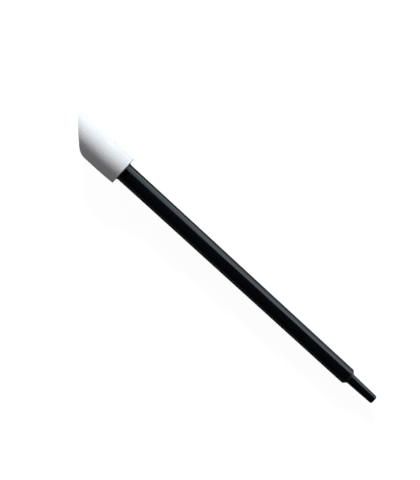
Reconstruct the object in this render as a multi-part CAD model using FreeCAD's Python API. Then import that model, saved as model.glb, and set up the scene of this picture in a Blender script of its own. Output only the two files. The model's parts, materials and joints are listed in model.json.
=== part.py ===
import FreeCAD, Part
import math
import os

# Foam cleaning swab: a moulded stick with the same short peg at both ends, one bare and one inside a foam
# head. Lengths are in millimetres and angles in degrees. The swab is drawn along the x axis with the foam's
# rear face at x = 0, the foam towards -x, the handle towards +x and the foam's point on the +y side. It is
# then laid on a table at z = 0, with the middle of its outer box above the origin.

# Foam head
foam_diameter = 5.6
foam_length = 12.8  # from the rear face to the point
cut_angle = 44.0  # between the wiping face and the axis
point_radius = 0.2  # blunt edge of the point
heel_radius = 2.8  # where the wiping face rolls over into the short side
draw_in = 0.11  # how far the side is drawn in at the rear face
draw_in_length = 3.5
draw_in_blend = 40.0  # radius that eases the drawn-in end into the straight side
rim_radius = 0.12  # soft edge round the rear face
flat_depth = 0.1  # how far the soft side is pressed flat where it lies on the table

# Handle
grip_length = 51.15  # from the foam's rear face to the shoulder
grip_front_diameter = 3.3  # where the handle leaves the foam
grip_rear_diameter = 2.92  # at the shoulder
shoulder_angle = 48.0  # between the shoulder's slope and the axis
shoulder_radius = 0.5
root_radius = 0.25  # fillet between the shoulder's slope and the peg
peg_length = 5.43
peg_root_diameter = 1.82
peg_end_diameter = 1.53
peg_edge_radius = 0.35

# Seat of the foam on the handle
grip_depth = 1.2  # how far the full grip runs into the foam
bond_gap = 0.03  # film of melted foam between the socket and the handle
bead_height = 0.15  # plastic squeezed up against the foam's rear face
bead_length = 0.2  # from the bead's edge to the foot of its slope
bead_edge_radius = 0.03
bead_foot_radius = 0.4  # eases the slope into the grip

# Reach of the cutting shapes past the foam's surface
run_out = 0.01  # where a rounded edge meets the side
overshoot = 1.0  # where a cutter leaves the foam

X = FreeCAD.Vector(1, 0, 0)
Y = FreeCAD.Vector(0, 1, 0)
Z = FreeCAD.Vector(0, 0, 1)
ORIGIN = FreeCAD.Vector(0, 0, 0)


def at(along, across):
    """Point of a flat outline: along the swab's axis, and away from it."""
    return FreeCAD.Vector(along, across, 0)


def rounding(before, corner, after, radius):
    """Arc that rounds a corner between two straight runs: its start, middle, end and centre."""
    back = (before - corner).normalize()
    ahead = (after - corner).normalize()
    half_turn = back.getAngle(ahead) / 2
    inward = (back + ahead).normalize()
    centre = corner + inward * (radius / math.sin(half_turn))
    tangent = radius / math.tan(half_turn)
    return corner + back * tangent, centre - inward * radius, corner + ahead * tangent, centre


def corner_rounding(corners, index):
    """Rounding of one corner of a closed outline."""
    corner, radius = corners[index]
    after = corners[(index + 1) % len(corners)][0]
    return rounding(corners[index - 1][0], corner, after, radius)


def rounded_face(corners):
    """Flat face inside a closed outline of (corner, radius), straight between corners, with tangent arcs."""
    turns = []
    for index, (corner, radius) in enumerate(corners):
        turns.append(corner_rounding(corners, index)[:3] if radius else (corner, corner, corner))
    edges = []
    for index, (start, middle, end) in enumerate(turns):
        if start != end:
            edges.append(Part.Arc(start, middle, end).toShape())
        edges.append(Part.makeLine(end, turns[(index + 1) % len(turns)][0]))
    return Part.Face(Part.Wire(edges))


def turned(corners):
    """Solid of revolution of an outline about the swab's axis."""
    return rounded_face(corners).revolve(ORIGIN, X, 360)


def grip_radius(along):
    """Radius of the tapered grip at a place along the axis."""
    taper = (grip_rear_diameter - grip_front_diameter) / 2 / grip_length
    return grip_front_diameter / 2 + taper * along


def peg_end(shoulder, outward, gap):
    """Corners from the shoulder to the tip of a peg that points outward (+1 or -1), grown by a gap."""
    shoulder_height = grip_radius(shoulder) - peg_root_diameter / 2
    root = shoulder + outward * shoulder_height / math.tan(math.radians(shoulder_angle))
    tip = root + outward * (peg_length + gap)
    return [
        (at(shoulder, grip_radius(shoulder) + gap), shoulder_radius),
        (at(root, peg_root_diameter / 2 + gap), root_radius),
        (at(tip, peg_end_diameter / 2 + gap), peg_edge_radius),
        (at(tip, 0), 0),
    ]


# Handle: one outline from the peg inside the foam, over the bead at the foam's rear face, to the bare peg
front_end = peg_end(-grip_depth, -1, 0)
bead_foot = bond_gap + bead_length
bead = [
    (at(bond_gap, grip_radius(bond_gap)), 0),
    (at(bond_gap, grip_radius(bond_gap) + bead_height), bead_edge_radius),
    (at(bead_foot, grip_radius(bead_foot)), bead_foot_radius),
]
rear_end = peg_end(grip_length, 1, 0)
handle_outline = front_end[::-1] + bead + rear_end
handle = turned(handle_outline)

# Foam: a round bar drawn in at the rear, cut across by the wiping face, with a blind socket for the handle
foam_radius = foam_diameter / 2
bluntness = point_radius * (1 / math.tan(math.radians(cut_angle) / 2) - 1)
sharp_length = foam_length + bluntness
bar_outline = [
    (at(0, 0), 0),
    (at(0, foam_radius - draw_in), rim_radius),
    (at(-draw_in_length, foam_radius), draw_in_blend),
    (at(-sharp_length - overshoot, foam_radius), 0),
    (at(-sharp_length - overshoot, 0), 0),
]
bar = turned(bar_outline)

side = foam_radius + run_out
cut_slope = math.tan(math.radians(cut_angle))
side_outline = [
    (at(-sharp_length - run_out / cut_slope, side), point_radius),
    (at(-sharp_length + (foam_diameter + run_out) / cut_slope, -side), heel_radius),
    (at(overshoot, -side), 0),
    (at(overshoot, side), 0),
]
side_view = rounded_face(side_outline)
side_view.translate(-Z * (foam_radius + overshoot))
cut_bar = bar.common(side_view.extrude(Z * (foam_diameter + 2 * overshoot)))

mouth = [(at(overshoot, 0), 0), (at(overshoot, grip_radius(overshoot) + bond_gap), 0)]
socket = turned(mouth + peg_end(-grip_depth, -1, bond_gap))
foam_tip = cut_bar.cut(socket)

# Rest: the table touches the foam where it starts to draw in, pressed flat there, and the rounded shoulder
foam_centre = corner_rounding(bar_outline, 2)[3]
shoulder_centre = corner_rounding(handle_outline, len(front_end + bead))[3]
foam_reach = draw_in_blend - flat_depth
run = shoulder_centre.x - foam_centre.x
drop = foam_centre.y - shoulder_centre.y
tilt = math.atan2(drop, run) + math.asin((foam_reach - shoulder_radius) / math.hypot(run, drop))
lift = foam_centre.x * math.sin(tilt) + foam_centre.y * math.cos(tilt) + foam_reach
for piece in (handle, foam_tip):
    piece.rotate(ORIGIN, Y, math.degrees(tilt))
    piece.translate(Z * lift)

table_reach = foam_length + foam_diameter
table_corner = at(-table_reach, -table_reach) - Z * overshoot
table = Part.makeBox(2 * table_reach, 2 * table_reach, overshoot, table_corner)
foam_tip = foam_tip.cut(table)

middle = Part.Compound([handle, foam_tip]).optimalBoundingBox().Center.x
os.makedirs("parts", exist_ok=True)
for node, piece in (("handle", handle), ("foam_tip", foam_tip)):
    piece.translate(-X * middle)
    piece.exportStep(f"parts/{node}.step")
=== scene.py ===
import json
import math

import bpy
import numpy as np
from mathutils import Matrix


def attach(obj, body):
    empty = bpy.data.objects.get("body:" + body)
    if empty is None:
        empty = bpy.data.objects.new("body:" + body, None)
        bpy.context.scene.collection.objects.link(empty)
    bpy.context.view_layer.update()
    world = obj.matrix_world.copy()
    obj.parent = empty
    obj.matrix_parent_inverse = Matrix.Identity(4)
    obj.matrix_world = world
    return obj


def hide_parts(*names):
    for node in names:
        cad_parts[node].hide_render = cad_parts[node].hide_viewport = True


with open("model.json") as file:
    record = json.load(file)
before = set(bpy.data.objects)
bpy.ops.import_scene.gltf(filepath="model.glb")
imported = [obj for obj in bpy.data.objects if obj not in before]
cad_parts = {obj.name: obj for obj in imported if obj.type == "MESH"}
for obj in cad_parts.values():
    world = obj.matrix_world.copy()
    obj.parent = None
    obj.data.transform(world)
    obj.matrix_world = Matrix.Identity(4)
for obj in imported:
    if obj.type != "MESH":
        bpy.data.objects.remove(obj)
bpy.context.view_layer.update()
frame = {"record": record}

# Foam cleaning swab, lying on a pale table. Lengths are in metres and angles in radians.

# Foam head
FOAM_RADIUS = 0.0028
FOAM_LENGTH = 0.0128  # from the rear face to the point
CUT_ANGLE = math.radians(44)  # between the wiping face and the axis
POINT_RADIUS = 0.0002  # blunt edge of the point
HEEL_RADIUS = 0.0028  # where the wiping face rolls over into the short side
DRAW_IN = 0.00011  # how far the side is drawn in at the rear face
DRAW_IN_LENGTH = 0.0035
DRAW_IN_EASE = 1.4  # power that eases the drawn-in end into the straight side
RIM_RADIUS = 0.00012  # soft edge round the rear face
REAR_DISH = 0.00006  # how far the rear face sinks from the rim to the stick
SOFT_EDGE_PASSES = 1  # passes that round off the knife-cut edge
CELL_SIZE = 0.00024  # one open cell of the foam
CELL_DEPTH = 0.000018  # how deep a cut cell lies below its walls
CELL_WALL = 0.06  # half the width of a wall between two cells, in cells
CELL_OPEN = 0.55  # distance from a wall at which a cell has its full depth, in cells
UNEVENNESS = 0.000005  # slow waves in the soft skin
WAVES = np.array([(4.1, 2.3, 0.0), (1.0, 5.3, -3.1), (2.9, -1.0, 6.7)])  # radians along x, y, z per radius
WAVE_STARTS = np.array((0.7, 0.0, 0.0))
SCATTER = np.array([(127.1, 311.7, 74.7), (269.5, 183.3, 246.1), (113.5, 271.9, 124.6)])
SCATTER_SIZE = 43758.5453  # large, so that the fraction left of it looks random

# Stick
GRIP_LENGTH = 0.05115  # from the foam's rear face to the shoulder
GRIP_FRONT_RADIUS = 0.00165  # where the stick leaves the foam
GRIP_REAR_RADIUS = 0.00146  # at the shoulder
GRIP_DEPTH = 0.0012  # how far the full grip runs into the foam
SHOULDER_ANGLE = math.radians(48)
SHOULDER_RADIUS = 0.0005
ROOT_RADIUS = 0.00025  # fillet between the shoulder's slope and the peg
PEG_LENGTH = 0.00543
PEG_ROOT_RADIUS = 0.00091
PEG_END_RADIUS = 0.000765
PEG_EDGE_RADIUS = 0.00035
PARTING_ANGLE = math.radians(-27)  # of one parting line, from the side of the foam's point
PARTING_HEIGHT = 0.000012
PARTING_WIDTH = 0.02  # half width of the line, as an angle round the stick
PARTING_STEPS = np.array([-3, -2, -1.5, -1, -0.5, 0, 0.5, 1, 1.5, 2, 3])  # across the line, in half widths
BOND_GAP = 0.000005  # between the stick and the foam that is bonded to it
MOUTH_RADIUS = GRIP_FRONT_RADIUS + BOND_GAP  # of the foam's socket at its rear face
BEAD_START = 0.00003  # of the plastic squeezed up behind the foam, from the rear face
BEAD_HEIGHT = 0.00015
BEAD_LENGTH = 0.0002  # from its edge to the foot of its slope
BEAD_EDGE_RADIUS = 0.00003
BEAD_FOOT_RADIUS = 0.0004  # eases the slope into the grip

# How finely the skins are divided
AROUND_STICK = 128
RINGS_ON_GRIP = 100
RINGS_ON_ARC = 12
AROUND_FOAM = 320
RINGS_ON_WIPING_FACE = 76
RINGS_ON_SIDE = 165
RINGS_ON_RIM = 9
RINGS_ON_REAR_FACE = 20

# The photo's frame, and the places in it of the foam's rear face and the stick's end, both on the axis
FRAME_WIDTH = 420
FRAME_HEIGHT = 480
REAR_FACE_PIXEL = (123.35, 171.12)
STICK_END_PIXEL = (374.33, 400.56)

# The swab's own directions: along its axis, to the side of the foam's point, and up from both. The axis
# starts at the foam's rear face.
grip = next(mount for mount in frame["record"]["mounts"] if mount["name"] == "grip")
ALONG = np.array(grip["axis"]) / np.linalg.norm(grip["axis"])
SIDE = np.array((0.0, 1.0, 0.0))
UP = np.cross(ALONG, SIDE)
REAR_FACE = np.array(grip["pos_m"]) - ALONG * GRIP_LENGTH / 2
OVERHEAD = np.array((0.0, 0.0, 1.0))

# The photo's own directions on the table: the turn of its frame, and right and up in it
ACROSS_FRAME, DOWN_FRAME = np.subtract(STICK_END_PIXEL, REAR_FACE_PIXEL)
FRAME_TURN = math.atan2(DOWN_FRAME, ACROSS_FRAME)
FRAME_RIGHT = np.array([math.cos(FRAME_TURN), math.sin(FRAME_TURN), 0])
FRAME_UP = np.array([-math.sin(FRAME_TURN), math.cos(FRAME_TURN), 0])


def placed(along, radius, angle):
    """Points on the swab: a way along the axis from the foam's rear face, plus the radius turned by the angle
    from the side of the foam's point towards the top."""
    side = (radius * np.cos(angle))[..., None]
    up = (radius * np.sin(angle))[..., None]
    return REAR_FACE + along[..., None] * ALONG + side * SIDE + up * UP


def added(name, data):
    """New object in the scene."""
    thing = bpy.data.objects.new(name, data)
    bpy.context.collection.objects.link(thing)
    return thing


def closed_skin(name, rings):
    """Piece with a closed skin: rings of points, one behind the other, joined by four-sided faces, and closed
    at both ends by triangles from the middle of the end ring."""
    count, around = rings.shape[:2]
    points = np.concatenate([rings.reshape(-1, 3), rings[[0, -1]].mean(axis=1)])
    here = np.arange(count * around).reshape(count, around)
    beside = np.roll(here, -1, axis=1)
    quads = np.stack([here[:-1], beside[:-1], beside[1:], here[1:]], axis=-1).reshape(-1, 4)
    first_fan = np.stack([np.full(around, here.size), beside[0], here[0]], axis=-1)
    last_fan = np.stack([here[-1], beside[-1], np.full(around, here.size + 1)], axis=-1)
    fans = np.concatenate([first_fan, last_fan])
    corners = np.concatenate([quads.ravel(), fans.ravel()])
    starts = np.concatenate([np.arange(len(quads)) * 4, quads.size + np.arange(len(fans)) * 3])
    mesh = bpy.data.meshes.new(name)
    mesh.vertices.add(len(points))
    mesh.vertices.foreach_set("co", points.ravel())
    mesh.loops.add(len(corners))
    mesh.loops.foreach_set("vertex_index", corners)
    mesh.polygons.add(len(starts))
    mesh.polygons.foreach_set("loop_start", starts)
    mesh.polygons.foreach_set("use_smooth", np.ones(len(starts), bool))
    mesh.update(calc_edges=True)
    return added(name, mesh)


def unit(vectors):
    """The same directions, one unit long."""
    return vectors / np.linalg.norm(vectors, axis=-1, keepdims=True)


def rounded_outline(corners, radii):
    """Points of the arcs that round the inner corners of an outline: each arc touches both runs at its
    corner, and its points turn evenly about a centre that lies on the line halving the corner."""
    back = unit(corners[:-2] - corners[1:-1])
    ahead = unit(corners[2:] - corners[1:-1])
    half_corner = np.arccos(np.sum(back * ahead, axis=1)) / 2
    inward = unit(back + ahead)
    across = unit(back - ahead)
    centres = corners[1:-1] + inward * (radii / np.sin(half_corner))[:, None]
    turn = (math.pi / 2 - half_corner)[:, None] * np.linspace(-1, 1, RINGS_ON_ARC)
    reach = np.cos(turn)[..., None] * inward[:, None] + np.sin(turn)[..., None] * across[:, None]
    return centres[:, None] - radii[:, None, None] * reach


def grip_radius(along):
    """Radius of the evenly tapered grip."""
    return GRIP_FRONT_RADIUS + (GRIP_REAR_RADIUS - GRIP_FRONT_RADIUS) * along / GRIP_LENGTH


def peg_corners(shoulder, outward, gap):
    """Corners (along, radius) from the shoulder to the tip of a peg that points outward (+1 or -1), grown by
    a gap."""
    slope = (grip_radius(shoulder) - PEG_ROOT_RADIUS) / math.tan(SHOULDER_ANGLE)
    root = shoulder + outward * slope
    tip = root + outward * (PEG_LENGTH + gap)
    return [
        (shoulder, grip_radius(shoulder) + gap),
        (root, PEG_ROOT_RADIUS + gap),
        (tip, PEG_END_RADIUS + gap),
        (tip, 0.0),
    ]


PEG_RADII = np.array([SHOULDER_RADIUS, ROOT_RADIUS, PEG_EDGE_RADIUS])
BEAD_RADII = np.array([BEAD_EDGE_RADIUS, BEAD_EDGE_RADIUS, BEAD_FOOT_RADIUS])


def moulded_stick():
    """Stick: an outline of straight runs and arcs turned about the axis, with a bead behind the foam and two
    fine parting lines whose height falls off as a bell curve of the angle from the line."""
    front = peg_corners(-GRIP_DEPTH, -1, 0.0)[::-1]
    bead_foot = BEAD_START + BEAD_LENGTH
    bead = [
        (BEAD_START, grip_radius(BEAD_START)),
        (BEAD_START, grip_radius(BEAD_START) + BEAD_HEIGHT),
        (bead_foot, grip_radius(bead_foot)),
    ]
    rear = peg_corners(GRIP_LENGTH, 1, 0.0)
    radii = np.concatenate([PEG_RADII[::-1], BEAD_RADII, PEG_RADII])
    arcs = rounded_outline(np.array(front + bead + rear), radii)
    front_arcs = arcs[:-len(PEG_RADII)].reshape(-1, 2)
    rear_arcs = arcs[-len(PEG_RADII):].reshape(-1, 2)
    share = np.linspace(0, 1, RINGS_ON_GRIP + 1, endpoint=False)[1:, None]
    grip_run = front_arcs[-1] + (rear_arcs[0] - front_arcs[-1]) * share
    along, radius = np.concatenate([front_arcs, grip_run, rear_arcs]).T

    even = np.arange(AROUND_STICK) * 2 * math.pi / AROUND_STICK
    lines = PARTING_ANGLE + np.array([[0], [math.pi]])
    near_lines = (lines + PARTING_WIDTH * PARTING_STEPS).ravel() % (2 * math.pi)
    angle = np.sort(np.concatenate([even, near_lines]))
    from_line = np.arcsin(np.abs(np.sin(angle - PARTING_ANGLE)))
    ridge = PARTING_HEIGHT * np.exp(-((from_line / PARTING_WIDTH) ** 2))
    return closed_skin("moulded_stick", placed(along[:, None], radius[:, None] + ridge, angle))


def wiping_front(side):
    """Way along the axis to the foam's cut front, at a distance to the side of the axis: a slanted line, an
    arc that blunts the point and a larger arc at the heel, both touching the line and the foam's side."""
    slope = math.tan(CUT_ANGLE)
    half_slope = math.tan(CUT_ANGLE / 2)
    sharp_point = -FOAM_LENGTH - POINT_RADIUS * (1 / half_slope - 1)
    line = sharp_point + (FOAM_RADIUS - side) / slope

    point_side = FOAM_RADIUS - POINT_RADIUS
    point_along = sharp_point + POINT_RADIUS / half_slope
    point = point_along - np.sqrt(np.maximum(POINT_RADIUS**2 - (side - point_side) ** 2, 0))
    heel_side = HEEL_RADIUS - FOAM_RADIUS
    heel_along = sharp_point + 2 * FOAM_RADIUS / slope + HEEL_RADIUS * half_slope
    heel = heel_along - np.sqrt(np.maximum(HEEL_RADIUS**2 - (side - heel_side) ** 2, 0))
    on_point = side > point_side - POINT_RADIUS * math.cos(CUT_ANGLE)
    on_heel = side < heel_side - HEEL_RADIUS * math.cos(CUT_ANGLE)
    return np.where(on_point, point, np.where(on_heel, heel, line))


def foam_radius(along):
    """Radius of the foam's side: straight, then drawn in towards the rear by a power of the way left."""
    share = np.clip(1 + along / DRAW_IN_LENGTH, 0, 1)
    return FOAM_RADIUS - DRAW_IN * share**DRAW_IN_EASE


def softened(rows, passes):
    """Rows evened out along the skin: each pass averages a row with half of the rows next to it."""
    for _ in range(passes):
        rows = np.concatenate([rows[:1], (rows[:-2] + 2 * rows[1:-1] + rows[2:]) / 4, rows[-1:]])
    return rows


def cell_middles(cubes):
    """One scattered point in each cube of a lattice: the fraction left of a large sine of its number."""
    return cubes + np.modf(np.abs(np.sin(cubes @ SCATTER) * SCATTER_SIZE))[0]


def cell_depth(points):
    """How far a point lies inside its foam cell, from 0 on a wall to 1: the distance to the second nearest
    cell middle less the distance to the nearest one, eased between the wall's edge and the open cell."""
    lattice = points / CELL_SIZE
    corner = np.floor(lattice)
    nearest = np.full(points.shape[:-1], np.inf)
    second = np.full(points.shape[:-1], np.inf)
    for step in np.ndindex(3, 3, 3):
        distance = np.linalg.norm(lattice - cell_middles(corner + np.array(step) - 1), axis=-1)
        second = np.minimum(second, np.maximum(nearest, distance))
        nearest = np.minimum(nearest, distance)
    share = np.clip((second - nearest - CELL_WALL) / (CELL_OPEN - CELL_WALL), 0, 1)
    return share * share * (3 - 2 * share)


def slow_waves(points):
    """Unevenness of the soft skin from -1 to 1: the mean of three sines of slanted distances."""
    return np.sin(points / FOAM_RADIUS @ WAVES.T + WAVE_STARTS).mean(axis=-1)


def foam_rings(angle):
    """Way along the axis and radius of the foam's rings, at each angle round it: from the middle of the
    wiping face over the side and a rounded rim to the dished rear face and the mouth of the socket."""
    even = np.ones(len(angle))
    face_radius = FOAM_RADIUS * np.linspace(0, 1, RINGS_ON_WIPING_FACE + 1)[1:, None] * even
    face_along = wiping_front(face_radius * np.cos(angle))
    side_share = np.linspace(0, 1, RINGS_ON_SIDE + 1, endpoint=False)[1:, None]
    side_along = face_along[-1] + (-RIM_RADIUS - face_along[-1]) * side_share
    front_along = softened(np.concatenate([face_along, side_along]), SOFT_EDGE_PASSES)
    front_radius = softened(np.concatenate([face_radius, foam_radius(side_along)]), SOFT_EDGE_PASSES)
    turn = np.linspace(0, math.pi / 2, RINGS_ON_RIM)[:, None]
    rim_along = RIM_RADIUS * (np.sin(turn) - 1) * even
    rim_radius = foam_radius(-RIM_RADIUS) - RIM_RADIUS * (1 - np.cos(turn) * even)
    inner_share = np.linspace(0, 1, RINGS_ON_REAR_FACE + 1)[1:, None] * even
    rear_along = -REAR_DISH * inner_share**2
    rear_radius = rim_radius[-1] + (MOUTH_RADIUS - rim_radius[-1]) * inner_share
    along = np.concatenate([front_along, rim_along, rear_along])
    radius = np.concatenate([front_radius, rim_radius, rear_radius])
    return along, radius


def socket_lining(angle):
    """Points of the socket: the outline of the stick's front end, grown by the bond gap, turned about the
    axis."""
    corners = [(0.0, MOUTH_RADIUS)] + peg_corners(-GRIP_DEPTH, -1, BOND_GAP)
    along, radius = rounded_outline(np.array(corners), PEG_RADII).reshape(-1, 2).T[..., None]
    return placed(along, radius, angle)


def foam_head():
    """Foam: a skin of rings that goes on into the socket. It sinks by the depth of its open cells and by slow
    waves, which both fade out at the socket's mouth, and lies flat where it meets the table."""
    angle = np.arange(AROUND_FOAM) * 2 * math.pi / AROUND_FOAM
    along, radius = foam_rings(angle)
    skin = placed(along, radius, angle)
    around = np.roll(skin, -1, axis=1) - np.roll(skin, 1, axis=1)
    outward = unit(np.cross(around, np.gradient(skin, axis=0)))
    cells = cell_depth(skin - REAR_FACE)
    waves = slow_waves(skin - REAR_FACE)
    from_mouth = np.clip((radius - MOUTH_RADIUS) / RIM_RADIUS, 0, 1)
    fade = np.where(along < -2 * RIM_RADIUS, 1, from_mouth)
    relief = fade * (CELL_DEPTH * cells + UNEVENNESS * (1 + waves))
    skin = skin - outward * relief[..., None]
    skin[..., 2] = np.maximum(skin[..., 2], 0)

    lining = socket_lining(angle)
    piece = closed_skin("foam_head", np.concatenate([skin, lining]))
    # Each cell's depth is kept for the material, which paints shade into the hollows of the cells.
    depth = np.zeros(len(piece.data.vertices))
    depth[:cells.size] = cells.ravel()
    piece.data.attributes.new("cell_depth", "FLOAT", "POINT").data.foreach_set("value", depth)
    return piece


# Finishes: colours are linear, noises are in waves per metre
PLASTIC_DARK = (0.0014, 0.002, 0.0036)
PLASTIC_LIGHT = (0.0022, 0.003, 0.0052)
PLASTIC_ROUGHNESS = (0.13, 0.19)
PLASTIC_IOR = 1.49
PLASTIC_GLOSS_TINT = (0.888, 0.975, 1.0, 1)
FLOW_SCALE = 900  # of the slow changes in the moulding
FLOW_DETAIL = 3
FLOW_STRETCH = (0.12, 1, 1)  # draws them out along the stick
GRAIN_SCALE = 9000
GRAIN_DETAIL = 2
GRAIN_HEIGHT = 0.000004
GRAIN_STRENGTH = 0.35
FOAM_WALLS = (0.935, 0.935, 0.935)
# Painted shade: the darker colour that fills the hollows of the foam's cells.
FOAM_HOLLOW_SHADE = (0.875, 0.875, 0.875)
FOAM_ROUGHNESS = (0.85, 1.0)
FOAM_GLOSS = 0.2
WEB_SCALE = 11000
WEB_DETAIL = 3
WEB_HEIGHT = 0.00001
WEB_STRENGTH = 0.4
SOAK_SHARE = 0.08  # of the light that soaks into the foam
SOAK_REACH = (1.15, 1.0, 0.9)  # of red, green and blue, in depths
SOAK_DEPTH = 0.0012
NOISE_REACH = (0.3, 0.7)  # within which most of a noise lies


def plain_material(name):
    """New material with its node tree and its main shader."""
    material = bpy.data.materials.new(name)
    material.use_nodes = True
    tree = material.node_tree
    return material, tree, tree.nodes["Principled BSDF"]


def object_place(tree):
    """Place of a point in its object's own coordinates."""
    return tree.nodes.new("ShaderNodeTexCoord").outputs["Object"]


def worked_out(tree, operation, *terms):
    """Result of a math node on terms that are numbers or outputs of other nodes."""
    node = tree.nodes.new("ShaderNodeMath")
    node.operation = operation
    for socket, term in zip(node.inputs, terms):
        if isinstance(term, bpy.types.NodeSocket):
            tree.links.new(term, socket)
        else:
            socket.default_value = term
    return node.outputs["Value"]


def noise(tree, coordinates, scale, detail):
    """Smooth noise of a given number of waves per metre."""
    texture = tree.nodes.new("ShaderNodeTexNoise")
    texture.inputs["Scale"].default_value = scale
    texture.inputs["Detail"].default_value = detail
    tree.links.new(coordinates, texture.inputs["Vector"])
    return texture.outputs["Fac"]


def between(tree, factor, low, high, reach=NOISE_REACH):
    """Value that goes from low to high as the factor goes through its reach."""
    node = tree.nodes.new("ShaderNodeMapRange")
    node.inputs["From Min"].default_value, node.inputs["From Max"].default_value = reach
    node.inputs["To Min"].default_value = low
    node.inputs["To Max"].default_value = high
    tree.links.new(factor, node.inputs["Value"])
    return node.outputs["Result"]


def shaded(tree, factor, low, high):
    """Colour that goes from low to high with the factor."""
    node = tree.nodes.new("ShaderNodeMix")
    node.data_type = "RGBA"
    node.inputs["A"].default_value = (*low, 1)
    node.inputs["B"].default_value = (*high, 1)
    tree.links.new(factor, node.inputs["Factor"])
    return node.outputs["Result"]


def bumped(tree, height, distance, strength):
    """Normal of a bumpy surface."""
    node = tree.nodes.new("ShaderNodeBump")
    node.inputs["Distance"].default_value = distance
    node.inputs["Strength"].default_value = strength
    tree.links.new(height, node.inputs["Height"])
    return node.outputs["Normal"]


def satin_black_plastic():
    """Satin black moulding: nearly black, with slow changes of gloss drawn out along the stick and a fine
    grain."""
    material, tree, shader = plain_material("satin_black_plastic")
    place = object_place(tree)
    drawn_out = tree.nodes.new("ShaderNodeMapping")
    drawn_out.inputs["Scale"].default_value = FLOW_STRETCH
    tree.links.new(place, drawn_out.inputs["Vector"])
    flow = noise(tree, drawn_out.outputs["Vector"], FLOW_SCALE, FLOW_DETAIL)
    grain = noise(tree, place, GRAIN_SCALE, GRAIN_DETAIL)
    colour = shaded(tree, flow, PLASTIC_DARK, PLASTIC_LIGHT)
    shader.inputs["IOR"].default_value = PLASTIC_IOR
    shader.inputs["Specular Tint"].default_value = PLASTIC_GLOSS_TINT
    tree.links.new(colour, shader.inputs["Base Color"])
    tree.links.new(between(tree, flow, *PLASTIC_ROUGHNESS), shader.inputs["Roughness"])
    tree.links.new(bumped(tree, grain, GRAIN_HEIGHT, GRAIN_STRENGTH), shader.inputs["Normal"])
    return material


def open_cell_foam():
    """White open-cell foam: a dull white that lets light soak in, with painted shade that darkens the inside
    of its cells, and a fine web of struts in relief."""
    material, tree, shader = plain_material("open_cell_foam")
    cells = tree.nodes.new("ShaderNodeAttribute")
    cells.attribute_name = "cell_depth"
    web = noise(tree, object_place(tree), WEB_SCALE, WEB_DETAIL)
    # The depth of each cell blends painted shade into its hollow.
    colour = shaded(tree, cells.outputs["Fac"], FOAM_WALLS, FOAM_HOLLOW_SHADE)
    tree.links.new(colour, shader.inputs["Base Color"])
    tree.links.new(between(tree, web, *FOAM_ROUGHNESS), shader.inputs["Roughness"])
    tree.links.new(bumped(tree, web, WEB_HEIGHT, WEB_STRENGTH), shader.inputs["Normal"])
    shader.inputs["Specular IOR Level"].default_value = FOAM_GLOSS
    shader.inputs["Subsurface Weight"].default_value = SOAK_SHARE
    shader.inputs["Subsurface Radius"].default_value = SOAK_REACH
    shader.inputs["Subsurface Scale"].default_value = SOAK_DEPTH
    return material


def finished(piece, material, node):
    """Gives a piece its material and ties it to the solid that it stands for."""
    piece.data.materials.append(material)
    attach(piece, "root")
    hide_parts(node)


stick = moulded_stick()
finished(stick, satin_black_plastic(), "handle")
foam = foam_head()
finished(foam, open_cell_foam(), "foam_tip")

# Matt table, lifted to white for the camera so that only the swab's shadow shows
TABLE_REACH = 3.0
TABLE_DROP = 0.00001  # keeps the table just below what lies on it
TABLE_GREY = 0.2
TABLE_LIFT = 0.95  # where the camera sees it
TABLE_GLOSS_LIFT = 0.02  # where it shows in reflections


def pale_table():
    """Flat table under the swab."""
    corners = np.array([(-1, -1), (1, -1), (1, 1), (-1, 1)]) * TABLE_REACH
    points = np.column_stack([corners, np.full(4, -TABLE_DROP)])
    mesh = bpy.data.meshes.new("table")
    mesh.from_pydata(points.tolist(), [], [(0, 1, 2, 3)])
    table = added("table", mesh)

    material, tree, shader = plain_material("matt_table")
    shader.inputs["Base Color"].default_value = (TABLE_GREY, TABLE_GREY, TABLE_GREY, 1)
    shader.inputs["Roughness"].default_value = 1.0
    shader.inputs["Specular IOR Level"].default_value = 0.0
    ray = tree.nodes.new("ShaderNodeLightPath").outputs
    seen = worked_out(tree, "MAXIMUM", ray["Is Camera Ray"], ray["Is Transmission Ray"])
    direct = worked_out(tree, "MULTIPLY", seen, TABLE_LIFT)
    lift = worked_out(tree, "MULTIPLY_ADD", ray["Is Glossy Ray"], TABLE_GLOSS_LIFT, direct)
    tree.links.new(lift, shader.inputs["Emission Strength"])
    shader.inputs["Emission Color"].default_value = (1, 1, 1, 1)
    mesh.materials.append(material)


# Studio light: a distant key lamp, a weak fill lamp and a low front lamp light the foam. A softbox that
# stands on the table beyond the top of the photo's frame, a smaller one at the peg's end and a bright card
# that lies on the table show as reflections in the plastic.
KEY_LEVEL = 1.275  # brightness that it gives a white surface that faces it
KEY_DISTANCE = 0.5
KEY_ELEVATION = math.radians(21)
KEY_WIDTH = 0.2
KEY_HEIGHT = 0.14
FILL_LEVEL = 0.107  # brightness that it gives a white surface that faces it
FILL_DISTANCE = 0.6
FILL_ELEVATION = math.radians(60)
FILL_SIZE = 0.25
FRONT_LEVEL = 0.6  # brightness that it gives a white surface that faces it
FRONT_DISTANCE = 0.4
FRONT_HEIGHT = 0.018
FRONT_SIZE = 0.06
BOX_DISTANCE = 0.15
BOX_HEIGHT = 0.19
BOX_WIDTH = 0.78
BOX_RIGHT = 0.162  # of its middle, from the middle of the swab
BOX_RADIANCE = 1.7
CORE_DISTANCE = 0.146  # just in front of the softbox
CORE_LEFT = 0.13  # left edge of the softbox's brighter core, from the middle of the swab
CORE_WIDTH = 0.14
CORE_BOTTOM = 0.045
CORE_HEIGHT = 0.145
CORE_RADIANCE = 0.9
SIDE_BOX_DIRECTION = math.radians(50)  # from the peg's end of the axis towards the side of the foam's point
SIDE_BOX_DISTANCE = 0.2
SIDE_BOX_WIDTH = 0.08
SIDE_BOX_HEIGHT = 0.16
SIDE_BOX_RADIANCE = 1.2
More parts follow.
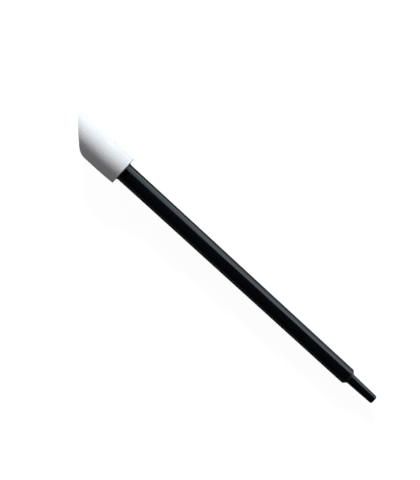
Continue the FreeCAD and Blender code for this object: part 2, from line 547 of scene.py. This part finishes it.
CARD_EDGES = (0.003, 0.0075, 0.02, 0.13)  # of its strips, from the swab's axis
CARD_RADIANCES = (0.1, 0.7, 1.6)  # of the strips
CARD_WIDTH = 0.16
CARD_HEIGHT = 0.0005
CARD_TURN = math.radians(-6)  # brings the card closer to the swab towards the peg
GLOW_MIDDLE = (-0.033, 0.075, 0.0009)  # of the card's brighter end, beside the foam
GLOW_WIDTH = 0.069
GLOW_DEPTH = 0.11
GLOW_RADIANCE = 1.7
CHIP_MIDDLE = (0.0312, 0.0024, 0.0007)  # of a small card that shows in the slope of the shoulder
CHIP_WIDTH = 0.0034
CHIP_DEPTH = 0.0016
CHIP_RADIANCE = 0.95
LIGHT_TINT = (0.9, 0.957, 1.0)
FILL_TINT = (1.0, 0.94, 0.96)
ROOM_LIGHT = 0.025  # that falls on matt surfaces
ROOM_GLOSS = 0.025  # that shows in reflections


def panel(name, width, height, radiance, middle, turn):
    """Flat area light that shines to its own -Z. Its power is its radiance times pi times its area."""
    light = bpy.data.lights.new(name, "AREA")
    light.shape = "RECTANGLE"
    light.size = width
    light.size_y = height
    light.color = LIGHT_TINT
    light.energy = radiance * math.pi * width * height
    lamp = added(name, light)
    lamp.location = middle
    lamp.rotation_euler = turn
    lamp.visible_camera = False
    return lamp


def radiance_for(level, distance, width, height):
    """Radiance at which a lamp gives a white surface that faces it this level of brightness."""
    return level * math.pi * distance**2 / (width * height)


def foam_lamps():
    """Key lamp that looks down at the swab from the frame's up direction, weak fill lamp above the other side
    and low lamp that looks along the swab at its wiping face. They don't show in the plastic."""
    key_middle = KEY_DISTANCE * (math.cos(KEY_ELEVATION) * FRAME_UP + math.sin(KEY_ELEVATION) * OVERHEAD)
    key_radiance = radiance_for(KEY_LEVEL, KEY_DISTANCE, KEY_WIDTH, KEY_HEIGHT)
    key_turn = (KEY_ELEVATION - math.pi / 2, 0, FRAME_TURN)
    key = panel("key_lamp", KEY_WIDTH, KEY_HEIGHT, key_radiance, key_middle, key_turn)
    fill_middle = FILL_DISTANCE * (math.sin(FILL_ELEVATION) * OVERHEAD - math.cos(FILL_ELEVATION) * SIDE)
    fill_radiance = radiance_for(FILL_LEVEL, FILL_DISTANCE, FILL_SIZE, FILL_SIZE)
    fill_turn = (math.pi / 2 - FILL_ELEVATION, 0, 0)
    fill = panel("fill_lamp", FILL_SIZE, FILL_SIZE, fill_radiance, fill_middle, fill_turn)
    fill.data.color = FILL_TINT
    front_middle = (-FRONT_DISTANCE, 0, FRONT_HEIGHT)
    front_radiance = radiance_for(FRONT_LEVEL, FRONT_DISTANCE, FRONT_SIZE, FRONT_SIZE)
    front_turn = (-math.pi / 2, 0, math.pi / 2)
    front = panel("front_lamp", FRONT_SIZE, FRONT_SIZE, front_radiance, front_middle, front_turn)
    for lamp in (key, fill, front):
        lamp.visible_glossy = False


def reflected_panels():
    """Two upright softboxes, and cards that face up. They show in the plastic and light no matt surface."""
    upright = (-math.pi / 2, 0, FRAME_TURN)
    box_middle = BOX_RIGHT * FRAME_RIGHT + BOX_DISTANCE * FRAME_UP + BOX_HEIGHT / 2 * OVERHEAD
    box = panel("softbox", BOX_WIDTH, BOX_HEIGHT, BOX_RADIANCE, box_middle, upright)
    core_right = CORE_LEFT + CORE_WIDTH / 2
    core_up = CORE_BOTTOM + CORE_HEIGHT / 2
    core_middle = core_right * FRAME_RIGHT + CORE_DISTANCE * FRAME_UP + core_up * OVERHEAD
    core = panel("softbox_core", CORE_WIDTH, CORE_HEIGHT, CORE_RADIANCE, core_middle, upright)
    side = np.array([math.cos(SIDE_BOX_DIRECTION), math.sin(SIDE_BOX_DIRECTION), 0])
    side_middle = SIDE_BOX_DISTANCE * side + SIDE_BOX_HEIGHT / 2 * OVERHEAD
    side_turn = (-math.pi / 2, 0, SIDE_BOX_DIRECTION - math.pi / 2)
    side_box = panel("side_box", SIDE_BOX_WIDTH, SIDE_BOX_HEIGHT, SIDE_BOX_RADIANCE, side_middle, side_turn)
    chip = panel("card_chip", CHIP_WIDTH, CHIP_DEPTH, CHIP_RADIANCE, CHIP_MIDDLE, (math.pi, 0, 0))
    card_turn = (math.pi, 0, CARD_TURN)
    glow = panel("card_glow", GLOW_WIDTH, GLOW_DEPTH, GLOW_RADIANCE, GLOW_MIDDLE, card_turn)
    panels = [box, core, side_box, chip, glow]
    for near, far, radiance in zip(CARD_EDGES, CARD_EDGES[1:], CARD_RADIANCES):
        middle = (0, (near + far) / 2, CARD_HEIGHT)
        panels.append(panel("card_strip", CARD_WIDTH, far - near, radiance, middle, card_turn))
    for lamp in panels:
        lamp.visible_diffuse = False


def dim_room():
    """Even, dim surroundings that look white behind the table."""
    world = bpy.data.worlds.new("room")
    world.use_nodes = True
    tree = world.node_tree
    ray = tree.nodes.new("ShaderNodeLightPath").outputs
    room = between(tree, ray["Is Glossy Ray"], ROOM_LIGHT, ROOM_GLOSS, (0, 1))
    strength = worked_out(tree, "MAXIMUM", ray["Is Camera Ray"], room)
    background = tree.nodes["Background"]
    background.inputs["Color"].default_value = (1, 1, 1, 1)
    tree.links.new(strength, background.inputs["Strength"])
    bpy.context.scene.world = world


# Camera straight above, turned and moved so that the swab's axis falls on the photo's two pixels
LENS = 260.0
SENSOR = 36.0


def camera():
    """Long lens looking straight down: the photo's line between the two pixels gives the scale and the turn,
    and the middle of the frame gives the place."""
    shoulder_slope = (GRIP_REAR_RADIUS - PEG_ROOT_RADIUS) / math.tan(SHOULDER_ANGLE)
    stick_end = REAR_FACE + ALONG * (GRIP_LENGTH + shoulder_slope + PEG_LENGTH)
    metres_a_pixel = np.linalg.norm(stick_end - REAR_FACE) / math.hypot(ACROSS_FRAME, DOWN_FRAME)
    middle_pixel = np.add(REAR_FACE_PIXEL, STICK_END_PIXEL) / 2
    right, down = middle_pixel - np.array([FRAME_WIDTH, FRAME_HEIGHT]) / 2
    target = (REAR_FACE + stick_end) / 2 - metres_a_pixel * (right * FRAME_RIGHT - down * FRAME_UP)
    data = bpy.data.cameras.new("camera")
    data.lens = LENS
    data.sensor_width = SENSOR
    eye = added("camera", data)
    distance = LENS / SENSOR * metres_a_pixel * max(FRAME_WIDTH, FRAME_HEIGHT)
    eye.location = target + distance * OVERHEAD
    eye.rotation_euler = (0, 0, FRAME_TURN)
    bpy.context.scene.camera = eye


pale_table()
foam_lamps()
reflected_panels()
dim_room()
camera()
bpy.context.scene.view_settings.view_transform = "Standard"
